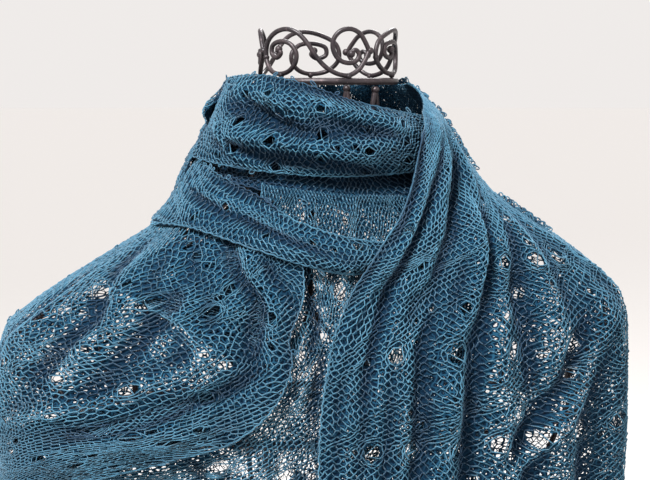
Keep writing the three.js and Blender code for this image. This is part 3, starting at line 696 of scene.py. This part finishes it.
# what a stretch has where its own rows say nothing else
plainStretch = {"shade": 0, "sags": (0, 0), "folds": [], "lace": [], "rows": "down", "ruffles": []}
stretches = {
    "back": {
        # points of angle and drop, height, half-width
        "creases": [
            [[[150, 60], [138, 130], [128, 200]], 5, 7], [[[170, 70], [166, 160], [160, 260]], -5, 7],
            [[[196, 60], [202, 150], [214, 240]], 5, 8], [[[226, 80], [238, 150], [246, 230]], -5, 7],
            [[[120, 120], [114, 200], [112, 300]], 4, 7], [[[180, 150], [176, 270], [178, 400]], 5, 8],
            [[[238, 240], [236, 330], [230, 420]], 4, 7], [[[142, 240], [146, 330], [146, 420]], -4, 7],
            [[[208, 200], [200, 300], [204, 400]], -4, 7],
        ],
        "cover": [[0, 0.35, 0.35, 0.35], [0.3, 0.2, 0.2, 0.2], [1, 0.15, 0.15, 0.15]],
        "ruffles": [[[0.945, 0.40], [0.945, 0.48]], [[0.955, 0.43], [0.95, 0.50]]],
        "start": [[93.6, 2], [93.6, 388]],
        "end": [[266.4, 2], [266.4, 380]],
        "sags": (0, 34),
        "lifts": [[0, 1, 0, 1], [0.5, 1, 0, 1], [1, 1, 3, 1]],
        "grid": (20, 12),
        "lace": [[5, 2, 18, 3], [8, 3, 18, 3], [10, 2, 18, 3]],
        "rows": "across",
        "cell": (5.0, 4.0),
        "restsOn": ["yoke_hoop", "armhole_left", "armhole_right"],
    },
    "centre_front": {
        "creases": [
            [[[-17, 115], [-12, 138], [-20, 200]], 4, 4], [[[-24, 107], [-16, 156], [-17, 224]], -4, 5],
            [[[-3, 83], [-8, 138], [-15, 212]], 3, 4], [[[-30, 211], [-23, 187], [-18, 138]], 3, 4],
            [[[-70, 229], [-64, 260], [-61, 320]], -4, 6], [[[-36, 223], [-32, 257], [-29, 330]], 4, 5],
            [[[-44, 230], [-40, 277], [-40, 347]], -4, 5], [[[-12, 230], [-8, 290], [-10, 380]], 4, 6],
            [[[4, 210], [6, 280], [2, 370]], -4, 6],
        ],
        "cover": [[0, 0.5, 0.4, 0.5], [0.3, 0.35, 0.2, 0.4], [1, 0.35, 0.2, 0.35]],
        "start": [
            [-43, 66], [-38, 120], [-36, 175], [-52, 222], [-76, 262], [-89, 306], [-93, 345], [-93.2, 378],
        ],
        "end": [[47, 74], [34, 150], [27, 260], [24, 340], [22, 440]],
        "sags": (3, 16),
        "lifts": [[0, 0, 1, 0], [0.15, 0, 0, 0], [1, 0, 0, 0]],
        "grid": (17, 15),
        "lace": [[1, 5, 13, 2], [2, 4, 14, 2], [7, 3, 15, 3], [9, 3, 15, 3], [12, 2, 15, 3]],
        "rows": "across",
        "cell": (4.3, 3.5),
        "restsOn": ["bust_hoop", "neck_wrap_inner"],
    },
    "left_underfold": {
        "creases": [
            [[[-60, 140], [-48, 156], [-40, 172]], 2, 4], [[[-40, 190], [-50, 206], [-60, 222]], 2, 4],
            [[[-30, 180], [-36, 197], [-44, 214]], -2, 4],
        ],
        "shade": 0.8,
        "cover": [[0, 0.7, 0.7, 0.7], [1, 0.8, 0.8, 0.8]],
        "start": [
            [-84, 119], [-58, 141], [-43, 161], [-35, 174], [-41, 189], [-52, 198], [-64, 209], [-78, 226],
        ],
        "end": [[angle - 3, drop - 2] for angle, drop in innerFold],
        "lifts": [[0, -0.2, 2.6, 3.2], [0.2, 1, 3.7, 4.3], [0.5, 3, 4, 5], [1, 2, 4, 5]],
        "grid": (5, 13),
        "cell": (4.2, 3.5),
        "restsOn": ["centre_front"],
    },
    "left_front": {
        "creases": [
            [[[-48, 100], [-32, 137], [-32, 177]], -6, 6], [[[-41, 101], [-26, 144], [-27, 188]], 5, 5],
            [[[-74, 128], [-56, 141], [-40, 158]], 3.5, 2.6],
            [[[-66, 107], [-59, 154], [-66, 203]], 5, 7], [[[-74, 108], [-65, 150], [-70, 191]], -5, 6],
            [[[-66, 226], [-52, 212], [-40, 196], [-30, 181]], -6, 6],
            [[[-75, 218], [-56, 199], [-38, 168]], 5, 6], [[[-54, 105], [-51, 137], [-56, 177]], -5, 6],
            [[[-58, 109], [-45, 149], [-38, 187]], 4, 6], [[[-78, 119], [-76, 153], [-82, 183]], 4, 5],
            [[[-80, 131], [-79, 160], [-86, 208]], -4, 5],
        ],
        "cover": [
            [0, 0.5, 0.6, 0.8], [0.4, 0.35, 0.35, 0.6], [0.8, 0.5, 0.6, 0.9], [1, 0.7, 0.85, 0.95],
        ],
        "start": [[-93.3, 72], [-93.3, 296]],
        "end": innerFold,
        "sags": (0, -2),
        "lifts": [[0, 1, 6, 6.5], [0.15, 1, 8, 8.5], [0.5, 1, 8, 9], [0.85, 1, 8, 8], [1, 1, 6, 7]],
        "folds": [
            [-62, 96, -84, 190, 4, 9], [-44, 100, -64, 215, -3, 10], [-34, 96, -42, 215, 4, 9],
            [-70, 150, -88, 250, 4, 10],
        ],
        "grid": (16, 14),
        "lace": [[3, 2, 14, 3], [6, 3, 14, 3], [8, 9, 15, 2], [10, 3, 15, 3], [12, 8, 15, 2]],
        "rows": "across",
        "cell": (4.3, 3.5),
        "restsOn": ["armhole_left", "left_underfold"],
    },
    "right_front": {
        "creases": [
            [[[52, 53], [38, 78], [28, 105]], -8, 5], [[[44, 25], [16, 89], [-8, 155]], 5, 5],
            [[[58, 52], [38, 104], [23, 165], [16, 251], [14, 330]], 6, 6],
            [[[30, 58], [6, 126], [-4, 198]], -5, 5],
            [[[14, 113], [2, 169], [-2, 248], [-3, 320]], 4, 5],
            [[[26, 106], [14, 170], [9, 250], [6, 330]], -5, 6],
            [[[61, 74], [54, 119], [48, 168]], 5, 6], [[[50, 98], [44, 143], [42, 221]], -6, 7],
            [[[65, 148], [52, 207], [36, 250], [30, 320]], 5, 6],
            [[[58, 160], [45, 211], [31, 252]], -6, 6], [[[29, 24], [17, 64], [4, 101]], 3.5, 3],
            [[[34, 24], [22, 64], [10, 101], [-6, 156]], -4, 3],
            [[[50, 31], [28, 77], [12, 115]], 3, 3], [[[59, 67], [40, 129], [29, 203]], 4, 6],
            [[[47, 79], [33, 141], [24, 222], [22, 300]], -4, 5],
            [[[66, 91], [72, 123], [78, 156]], 4, 6], [[[-7, 162], [-10, 199], [-12, 287]], -4, 4],
            [[[84, 120], [80, 190], [78, 330]], -7, 9],
        ],
        "cover": [[0, 1, 1, 0.8], [0.25, 1, 0.8, 0.5], [0.45, 0.8, 0.4, 0.45], [1, 0.5, 0.3, 0.45]],
        # shares across and down
        "ruffles": [
            [[0.66, 0.01], [0.70, 0.05], [0.75, 0.13]], [[0.69, 0.01], [0.73, 0.07], [0.77, 0.15]],
            [[0.77, 0.20], [0.79, 0.255]], [[0.775, 0.20], [0.80, 0.25]],
            [[0.785, 0.21], [0.805, 0.265]],
        ],
        "start": [
            [41, 20], [28, 40], [18, 68], [11, 87], [5.5, 99], [0, 115], [-6, 133], [-11, 157],
            [-14.5, 200], [-15.5, 250], [-15, 330], [-10, 428],
        ],
        "end": [[93.3, 2], [93.3, 390]],
        "sags": (-6, 16),
        "lifts": [[0, 10, 4, 1], [0.08, 20, 9, 1], [0.25, 20, 10, 1], [0.38, 9, 6, 1], [1, 8, 5, 1]],
        "folds": [
            [30, 44, -4, 145, 4, 6], [46, 30, 14, 140, 5, 7], [60, 36, 30, 125, 5, 8],
            [36, 70, 12, 150, -5, 6], [52, 50, 34, 150, -5, 6],
        ],
        "grid": (20, 15),
        "lace": [[4, 9, 17, 2], [6, 3, 17, 3], [8, 2, 18, 2], [10, 2, 18, 3], [13, 3, 18, 3]],
        "cell": (4.3, 3.5),
        "restsOn": ["armhole_right", "neck_wrap_front"],
    },
    "swag_band": {
        "creases": [
            [[[-74, 66], [-38, 82], [-12, 102], [3, 111]], 3, 4],
            [[[-73, 72], [-40, 90], [-14, 110]], -5, 3],
            [[[-72, 81], [-49, 85], [-25, 104], [-6, 118]], 3, 3],
            [[[-64, 65], [-38, 76], [-20, 89]], -3, 3],
        ],
        "cover": [[0, 0.9, 0.9, 0.9], [0.7, 0.95, 0.9, 0.9], [1, 1, 1, 1]],
        "start": [[-88.3, 48], [-58, 64], [-40, 75], [-24, 89], [-4.5, 100], [11, 103], [40, 100]],
        "end": [[-88.3, 96], [-60, 95], [-36, 106], [-22, 115], [-9, 122], [7, 122], [40, 116]],
        "lifts": [
            [0, 3.2, 9, 7], [0.25, 6, 15, 12.6], [0.5, 7, 17, 13], [0.62, 6, 15, 7], [0.75, 6, 12, 3],
            [1, 2.8, 5, 2.8],
        ],
        "grid": (4, 22),
        "cell": (4.4, 3.8),
        "restsOn": ["neck_wrap_front", "centre_front"],
    },
    "neck_wrap_inner": {
        "creases": [
            [[[-60, 40], [0, 52], [60, 46]], 2, 4], [[[-50, 52], [0, 66], [60, 60]], -2, 4],
        ],
        "shade": 1.6,
        "cover": [[0, 0.8, 0.8, 0.8], [0.7, 0.7, 0.6, 0.7], [1, 0.6, 0.5, 0.6]],
        "start": [[-82, 24], [80, 24]],
        "end": [[-82, 60], [-40, 72], [0, 82], [50, 84], [80, 76]],
        "lifts": [
            [0, -6, -8, -0.4], [0.22, -6, -8, -2.2], [0.5, -6, -8, -2.3], [0.8, -6, -8, -2.6],
            [1, -6, -9, -5],
        ],
        "grid": (3, 16),
        "cell": (4.2, 3.5),
        "restsOn": ["yoke_hoop"],
    },
    "neck_wrap_front": {
        "creases": [
            [[[-58, 10], [-37, 26], [-20, 34]], -7, 5],
            [[[-69, 30], [-48, 37], [-20, 43], [9, 53]], 5, 5], [[[-66, 2], [-26, 13], [10, 28]], 4, 6],
            [[[-20, 20], [-5, 25], [16, 29]], -4, 4], [[[-76, 25], [-59, 44], [-44, 56]], 3, 3],
            [[[-66, 39], [-40, 49], [-12, 53], [14, 59]], -4, 3.5],
            [[[-54, 4], [-42, 15], [-26, 22]], -3, 3], [[[-12, 31], [2, 39], [22, 39]], 3, 4],
        ],
        "shade": 0.3,
        "cover": [[0, 0.8, 1, 1], [0.2, 0.8, 1, 1], [1, 0.9, 1, 1]],
        "start": [[-88.3, -3], [-55, -5], [-35, -2], [-16, 5], [-3, 11], [10, 15], [22, 18], [50, 23]],
        "end": [[-88.3, 51], [-61, 56], [-42, 59], [-12, 62], [19, 61], [50, 57]],
        "lifts": [
            [0, 5, 9, 9], [0.2, 6, 15, 4], [0.5, 7, 18, 1.2], [0.75, 6, 13, 1.2], [0.9, 1, 6, 1],
            [1, 1, 3, 1],
        ],
        "folds": [
            [-70, 14, -20, 34, -7, 6], [-60, 34, 14, 46, 4, 6], [-30, 12, 34, 32, 4, 6],
            [-20, 30, 20, 36, -5, 5],
        ],
        "grid": (7, 20),
        "lace": [[4, 1, 5, 2], [7, 2, 6, 2], [10, 1, 5, 2], [13, 2, 6, 2], [16, 1, 5, 2]],
        "cell": (4.0, 3.4),
        "restsOn": ["neck_ring", "neck_wrap_inner"],
    },
    "neck_wrap_back": {
        "creases": [
            [[[100, 14], [180, 30], [262, 16]], 4, 5], [[[104, 36], [186, 52], [266, 40]], -5, 5],
            [[[110, 54], [190, 70], [268, 66]], 4, 5], [[[120, 68], [190, 80], [250, 84]], -3, 4],
        ],
        "shade": 0.6,
        "cover": [[0, 0.4, 0.4, 0.4], [0.35, 0.5, 0.5, 0.5], [1, 0.9, 0.9, 0.9]],
        "ruffles": [[[0.90, 0.05], [0.92, 0.25], [0.93, 0.42]], [[0.94, 0.12], [0.95, 0.36]]],
        "start": [[94, -3], [150, 3], [190, 4], [240, 0], [271.2, -3]],
        "end": [[94, 62], [150, 78], [190, 84], [240, 90], [271.2, 95]],
        "lifts": [
            [0, 4, 8, 4.6], [0.25, 5, 10, 4.6], [0.5, 5, 12, 4.6], [0.9, 5, 11, 7], [1, 5, 9, 7],
        ],
        "folds": [
            [110, 24, 200, 44, 5, 8], [170, 58, 260, 34, 5, 8], [130, 50, 190, 62, -4, 6],
            [262, 12, 276, 26, 9, 7],
        ],
        "grid": (5, 20),
        "lace": [[4, 1, 3, 2], [8, 1, 3, 2], [11, 1, 3, 2], [15, 1, 3, 2]],
        "cell": (4.2, 3.5),
        "restsOn": ["neck_ring", "back"],
    },
}


# an edge as a table of share of its length, angle and drop
def measuredEdge(rows):
    reach = np.array([form["clothReach"], 1])
    line = smoothLine(np.asarray(rows, float) * reach) / reach
    lengths = np.linalg.norm(np.diff(line * reach, axis=0), axis=1)
    share = np.concatenate([[0], np.cumsum(lengths)])
    return share / share[-1], line


def alongEdge(edge, share):
    return np.interp(share, edge[0], edge[1][:, 0]), np.interp(share, edge[0], edge[1][:, 1])


def liftAt(rows, across, down):
    atStart, atMiddle, atEnd = rowAt(rows, down)
    rest = 1 - across
    fromStart, fromEnd = atStart * rest * (rest - across), atEnd * across * (across - rest)
    return fromStart + 4 * atMiddle * across * rest + fromEnd


# the height of every fold and crease at a place; each tapers off towards its two ends
def foldLift(creases, angle, drop):
    total = np.zeros_like(angle)
    x, y = angle * form["clothReach"], drop
    for points, height, halfWidth in creases:
        p = np.array(points, float) * [form["clothReach"], 1]
        lengths = np.hypot(*np.diff(p, axis=0).T)
        nearest, share = np.full_like(x, 1e6), np.zeros_like(x)
        for k, length in enumerate(lengths):
            stepX, stepY = (p[k + 1] - p[k]) / length
            along = np.clip((x - p[k, 0]) * stepX + (y - p[k, 1]) * stepY, 0, length)
            away = np.hypot(x - p[k, 0] - stepX * along, y - p[k, 1] - stepY * along)
            isNearer = away < nearest
            nearest = np.where(isNearer, away, nearest)
            share = np.where(isNearer, (lengths[:k].sum() + along) / lengths.sum(), share)
        fade = np.sqrt(np.sin(np.pi * np.clip(share, 0.02, 0.98)))
        total += height * fade * np.exp(-((nearest / halfWidth) ** 2))
    return total


def clothSpot(piece, across, down):
    startAngle, startDrop = alongEdge(piece["startEdge"], down)
    endAngle, endDrop = alongEdge(piece["endEdge"], down)
    angle = startAngle + (endAngle - startAngle) * across
    topSag, hemSag = piece["sags"]
    sag = 4 * across * (1 - across) * (topSag + (hemSag - topSag) * down)
    return angle, startDrop + (endDrop - startDrop) * across + sag


def allFolds(piece):
    straight = [[[row[:2], row[2:4]], *row[4:]] for row in piece["folds"] + hangingFolds]
    return piece["creases"] + straight


def clothPoint(piece, across, down):
    angle, drop = clothSpot(piece, across, down)
    folds = foldLift(allFolds(piece), angle, drop)
    return outlinePoint(clothHoops, angle, drop, liftAt(piece["lifts"], across, down) + folds)


# painted shade of a place: 0 on the crest of a fold, 1 in the bottom of a trough, raised by the stretch's
# own shade
def paintedShadeAt(piece, across, down):
    angle, drop = clothSpot(piece, across, down)
    folds, near = allFolds(piece), knit["hollowReach"]
    level = 0
    for da, dd in ((1, 0), (-1, 0), (0, 1), (0, -1)):
        level = level + foldLift(folds, angle + da * near / form["clothReach"], drop + dd * near) / 4
    level = level - foldLift(folds, angle, drop) + piece["shade"]
    return np.clip(0.5 + level / knit["hollowDepth"], 0, 1)


def clothNormal(piece, across, down):
    near = 0.006

    def spot(du, dv):
        return clothPoint(piece, np.clip(across + du, 0, 1), np.clip(down + dv, 0, 1))

    normal = unit(np.cross(spot(0, near) - spot(0, -near), spot(near, 0) - spot(-near, 0)))
    outward = spot(0, 0) * [1, 1, 0]
    return normal * np.sign((normal * outward).sum())


# the stretch's own size before it was hung, as the mean length of its courses and of its wales
def flatSize(piece):
    u, v = np.meshgrid(np.linspace(0, 1, 60), np.linspace(0, 1, 60))
    p = clothPoint(piece, u, v)
    width = np.linalg.norm(np.diff(p, axis=1), axis=-1).sum(1).mean()
    length = np.linalg.norm(np.diff(p, axis=0), axis=-1).sum(0).mean()
    return width, length


knit = {
    "strand": 0.48,
    "selvedge": 0.6,
    "scallop": 0.5,
    "scallopLength": 7,
    "loopSpacing": 34,
    "ruffleStep": 1.8,
    "zigzag": 0.62, # of half a course's height
    "loosen": 0.4,
    "drift": 0.034, # of each wave's length
    "depth": 0.5,
    "innerDepth": 1.2,
    "innerStep": 2.6,
    "eyelet": 0.36, # of a cell of the lace grid
    "eyeletRim": 0.97, # where the strands lie, of its radius
    "eyeletReach": 2.1, # how far they are drawn aside, in radii
    "eyeletHem": 1.5, # over which the web closes round it
    "smallEyelets": 9.0, # in a square decimetre
    "calmEdge": 8, # over which the courses grow straight
    # painted shade in the troughs of the folds: how far round a place is looked at, the trough depth for
    # full shade, and how much more web a trough gets
    "hollowReach": 8,
    "hollowDepth": 4.2,
    "hollowCover": 0.4, # how much more web a trough has than a crest
    "missedTies": 0.03,
    "seed": 11,
}


# slow waves that let the courses wander, as hand knitting does, in millimetres
def drift(x, y, rng):
    total = np.zeros_like(x)
    for period in (15, 24, 38, 61, 97):
        turn, phase = rng.uniform(0, 2 * np.pi, 2)
        wave = (x * np.cos(turn) + y * np.sin(turn)) * 2 * np.pi / period + phase
        total += np.sin(wave) * period * knit["drift"]
    return total


def eyelets(piece, rng):
    columns, rows = piece["grid"]
    width, length = piece["flat"]
    cellWide, cellTall = width / columns, length / rows
    radius = knit["eyelet"] * min(cellWide, cellTall)
    holes = []
    for row, first, last, step in piece["lace"]:
        for i in range(first, last + 1, step):
            holes.append([(i + 0.5) * cellWide, (row + 0.5) * cellTall, radius])
    count = int(width * length / 1e4 * knit["smallEyelets"])
    for s, t, size in rng.uniform([0.04, 0.04, 1.9], [0.96, 0.96, 3.3], (count, 3)):
        spot = np.array([s * width, t * length])
        if all(np.hypot(*(spot - hole[:2])) > hole[2] + size + 3 for hole in holes):
            holes.append([*spot, size])
    return holes


# strands are drawn aside round each hole
def openHoles(s, t, holes):
    for x, y, radius in holes:
        ds, dt = s - x, t - y
        far = np.hypot(ds, dt)
        reach, rim = radius * knit["eyeletReach"], radius * knit["eyeletRim"]
        near = far < reach
        wanted = rim + (reach - rim) * far / reach
        push = np.where(near, wanted / np.maximum(far, 0.05), 1)
        s, t = x + ds * push, y + dt * push
    return s, t


# three-sided tubes along many lines at once: points and normals are lines x points x 3
def strandMesh(points, normals, charts, radius):
    lines, count = points.shape[:2]
    tangent = unit(np.gradient(points, axis=1))
    side = unit(np.cross(normals, tangent))
    outward = np.cross(tangent, side)
    along = np.cumsum(np.linalg.norm(np.diff(points, axis=1, prepend=points[:, :1]), axis=-1), axis=1)
    rings, marks, places = [], [], []
    for turn in np.radians([90, 210, 330]):
        c, s = math.cos(turn), math.sin(turn)
        rings.append(points + radius * (c * side + s * outward))
        marks.append(np.stack([c + 0 * along, s + 0 * along, along * mm], -1))
        places.append(charts + np.array([0.8, 0.8, 0]) * radius * c)
    vertices = np.stack(rings, 2)
    k = np.arange(lines * count).reshape(lines, count) * 3
    a, b = k[:, :-1].ravel(), k[:, 1:].ravel()
    faces = []
    for j in range(3):
        n = (j + 1) % 3
        faces.append(np.stack([a + j, a + n, b + n], -1))
        faces.append(np.stack([a + j, b + n, b + j], -1))
    first, last = k[:, 0], k[:, -1]
    faces.append(np.stack([first, first + 2, first + 1], -1))
    faces.append(np.stack([last, last + 1, last + 2], -1))
    marks, places = np.stack(marks, 2), np.stack(places, 2)
    return vertices.reshape(-1, 3), np.vstack(faces), marks.reshape(-1, 3), places.reshape(-1, 3)


def meshFrom(name, parts, flat):
    vertices, faces, marks, places = zip(*parts)
    offsets = np.cumsum([0] + [len(v) for v in vertices[:-1]])
    faces = np.vstack([f + offset for f, offset in zip(faces, offsets)])
    vertices = toWorld(np.vstack(vertices))
    marks, places = np.vstack(marks), np.vstack(places) / [*flat, 1]
    mesh = bpy.data.meshes.new(name)
    mesh.vertices.add(len(vertices))
    mesh.vertices.foreach_set("co", vertices.ravel())
    mesh.loops.add(faces.size)
    mesh.loops.foreach_set("vertex_index", faces.ravel().astype(np.int32))
    mesh.polygons.add(len(faces))
    mesh.polygons.foreach_set("loop_start", np.arange(0, faces.size, 3, dtype=np.int32))
    mesh.update(calc_edges=True)
    mesh.polygons.foreach_set("use_smooth", np.ones(len(faces), bool))
    chart = mesh.uv_layers.new(name="OFBake")
    chart.data.foreach_set("uv", np.clip(places[:, :2], 0, 1)[faces.ravel()].ravel())
    strand = mesh.attributes.new("strand", "FLOAT_VECTOR", "POINT")
    strand.data.foreach_set("vector", marks.ravel())
    # the charts' third column: the level of painted shade of each point
    paintedShade = mesh.attributes.new("paintedShade", "FLOAT", "POINT")
    paintedShade.data.foreach_set("value", places[:, 2].copy())
    net = bpy.data.objects.new(name, mesh)
    bpy.context.scene.collection.objects.link(net)
    return net


# a loose loop of yarn that stands on a point of the cloth
def looseLoop(spot, away, ahead, chart, size, lean):
    turn = np.linspace(0, 2 * np.pi, 13)[:, None]
    reachOut = (1 - np.cos(turn)) / 2 * size
    loop = spot + reachOut * away + (np.sin(turn) * size * 0.5 + lean * reachOut) * ahead
    facing = np.repeat(unit(np.cross(away, ahead))[None], len(turn), axis=0)
    charts = np.repeat(chart[None], len(turn), axis=0)
    return strandMesh(loop[None], facing[None], charts[None], knit["strand"])


# a bound edge that waves a little, with loose loops of yarn along it
def selvedge(piece, isStart, rng):
    width, length = piece["flat"]
    t = np.linspace(0, length, max(8, int(length / 2)))
    s = knit["scallop"] * (1 + np.sin(t * 2 * np.pi / knit["scallopLength"] + drift(t, 0 * t, rng)))
    u, v = s / width if isStart else 1 - s / width, t / length
    edge, out = clothPoint(piece, u, v), clothNormal(piece, u, v)
    chart = np.stack([u * width, t, paintedShadeAt(piece, u, v)], -1)
    parts = [strandMesh(edge[None], out[None], chart[None], knit["selvedge"])]
    inner = clothPoint(piece, np.clip(u + (0.03 if isStart else -0.03), 0, 1), v)
    away = unit(edge - inner)
    ahead = unit(np.gradient(edge, axis=0))
    for k in rng.choice(len(t), max(2, int(length / knit["loopSpacing"])), replace=False):
        size, lean = rng.uniform([1.4, -1.2], [3.4, 1.2])
        parts.append(looseLoop(edge[k], unit(away[k] + out[k] * 0.6), ahead[k], chart[k], size, lean))
    return parts


# loops that stand out along a line of shares across and down, like a worn picot edge
def ruffle(piece, rows, rng):
    width, length = piece["flat"]
    rows = np.array(rows, float)
    share = np.linspace(0, 1, 400)
    u, v = (np.interp(share, np.linspace(0, 1, len(rows)), rows[:, k]) for k in range(2))
    spots, out = clothPoint(piece, u, v), clothNormal(piece, u, v)
    ahead = unit(np.gradient(spots, axis=0))
    far = np.cumsum(np.linalg.norm(np.diff(spots, axis=0, prepend=spots[:1]), axis=1))
    parts = []
    for mark in np.arange(0, far[-1], knit["ruffleStep"]):
        k = min(np.searchsorted(far, mark + rng.uniform(0, 4)), len(far) - 1)
        # each loop gets a random level of painted shade
        size, lean, paintedShade = rng.uniform([1.2, -1.2, 0.3], [4.2, 1.2, 0.9])
        chart = np.array([u[k] * width, v[k] * length, paintedShade])
        parts.append(looseLoop(spots[k], out[k], ahead[k], chart, size, lean))
    return parts


def knitStretch(node, piece, holes, rng):
    width, length = piece["flat"]
    cellAlong, cellBetween = piece["cell"]
    isAcross = piece["rows"] == "across"
    along, between = (width, length) if isAcross else (length, width)
    halves = 2 * max(2, round(along / cellAlong))
    courses = max(2, round(between / cellBetween))
    i, k = np.arange(halves + 1), np.arange(courses)
    a, b = np.meshgrid(i * along / halves, (k + 0.5) * between / courses)
    towards = np.where((i[None, :] + k[:, None]) % 2 == 0, 1, -1)
    zigzag = knit["zigzag"] * between / courses / 2
    calm = knit["calmEdge"]
    inside = np.clip(np.minimum(b, between - b) / calm, 0, 1)
    inside = inside * np.clip(np.minimum(a, along - a) / calm, 0, 1)
    a2 = a + inside * drift(a, b, rng) + rng.normal(0, knit["loosen"], a.shape) * inside
    b2 = b + towards * zigzag + inside * drift(a, b, rng)
    b2 += rng.normal(0, knit["loosen"], a.shape)
    s, t = (a2, b2) if isAcross else (b2, a2)
    s, t = openHoles(s, t, holes)
    s, t = np.clip(s, 0, width), np.clip(t, 0, length)
    u, v = s / width, t / length
    normal = clothNormal(piece, u, v)
    depth = towards * knit["depth"] * 0.5 + rng.normal(0, knit["depth"] * 0.5, a.shape)
    point = clothPoint(piece, u, v) + normal * depth[..., None]
    chart = np.stack([s, t, paintedShadeAt(piece, u, v)], -1)
    parts = [strandMesh(point, normal, chart, knit["strand"])]
    # the ties from each course to the next
    rows, columns = np.nonzero((towards[:-1] > 0) & (rng.random(towards[:-1].shape) > knit["missedTies"]))
    pair = [(rows, columns), (rows + 1, columns)]
    ties = [np.stack([array[r, c] for r, c in pair], 1) for array in (point, normal, chart)]
    parts.append(strandMesh(*ties, knit["strand"]))
    for isStart in (True, False):
        parts += selvedge(piece, isStart, rng)
    for rows in piece["ruffles"]:
        parts += ruffle(piece, rows, rng)
    return meshFrom(camel(node) + "Yarn", parts, piece["flat"])


# the web of inner loops, a step inside the outer yarn
def webStretch(node, piece, holes):
    width, length = piece["flat"]
    columns, rows = (max(4, round(side / knit["innerStep"])) for side in (width, length))
    u, v = np.meshgrid(np.linspace(0, 1, columns + 1), np.linspace(0, 1, rows + 1))
    points = toWorld(clothPoint(piece, u, v) - clothNormal(piece, u, v) * knit["innerDepth"])
    bpy.ops.object.select_all(action="DESELECT")
    bpy.ops.mesh.primitive_grid_add(x_subdivisions=columns, y_subdivisions=rows, size=1)
    web = bpy.context.object
    web.name = camel(node) + "Web"
    corners = np.empty(len(web.data.vertices) * 3)
    web.data.vertices.foreach_get("co", corners)
    corners = corners.reshape(-1, 3)
    i = np.rint((corners[:, 0] + 0.5) * columns).astype(int)
    j = np.rint((0.5 - corners[:, 1]) * rows).astype(int)
    web.data.vertices.foreach_set("co", points[j, i].ravel())
    chart = web.data.attributes.new("chart", "FLOAT_VECTOR", "POINT")
    place = np.stack([u[j, i] * width * mm, v[j, i] * length * mm, 0 * i], -1)
    chart.data.foreach_set("vector", place.ravel())
    shares = u[j, i], v[j, i]
    paintedShade = paintedShadeAt(piece, *shares)
    # painted shade: the dark web covers more in the troughs of the folds
    cover = liftAt(piece["cover"], *shares) + knit["hollowCover"] * (paintedShade - 0.5)
    for x, y, radius in holes:
        far = np.hypot(shares[0] * width - x, shares[1] * length - y)
        cover = np.minimum(cover, (far - radius) / knit["eyeletHem"])
    for name, values in (("cover", cover), ("paintedShade", paintedShade)):
        layer = web.data.attributes.new(name, "FLOAT", "POINT")
        layer.data.foreach_set("value", values)
    web.data.uv_layers[0].name = "OFBake"
    web.data.update()
    bpy.ops.object.shade_smooth()
    web.data.materials.append(innerYarn)
    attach(web, "root")
    return web


def makeShawl():
    total = 0
    for order, (node, ownRows) in enumerate(stretches.items()):
        piece = {**plainStretch, **ownRows}
        rng = np.random.default_rng(knit["seed"] + order)
        piece["startEdge"], piece["endEdge"] = measuredEdge(piece["start"]), measuredEdge(piece["end"])
        piece["flat"] = flatSize(piece)
        holes = eyelets(piece, rng)
        net = knitStretch(node, piece, holes, rng)
        dress(net, net.name, [node], yarn)
        web = webStretch(node, piece, holes)
        width, length = piece["flat"]
        size = (width * mm, length * mm)
        total += len(net.data.polygons)
        print(f"{net.name}: {width:.0f} x {length:.0f} mm, {len(net.data.polygons)} triangles")
    print("shawl ready,", total, "triangles")


makeShawl()
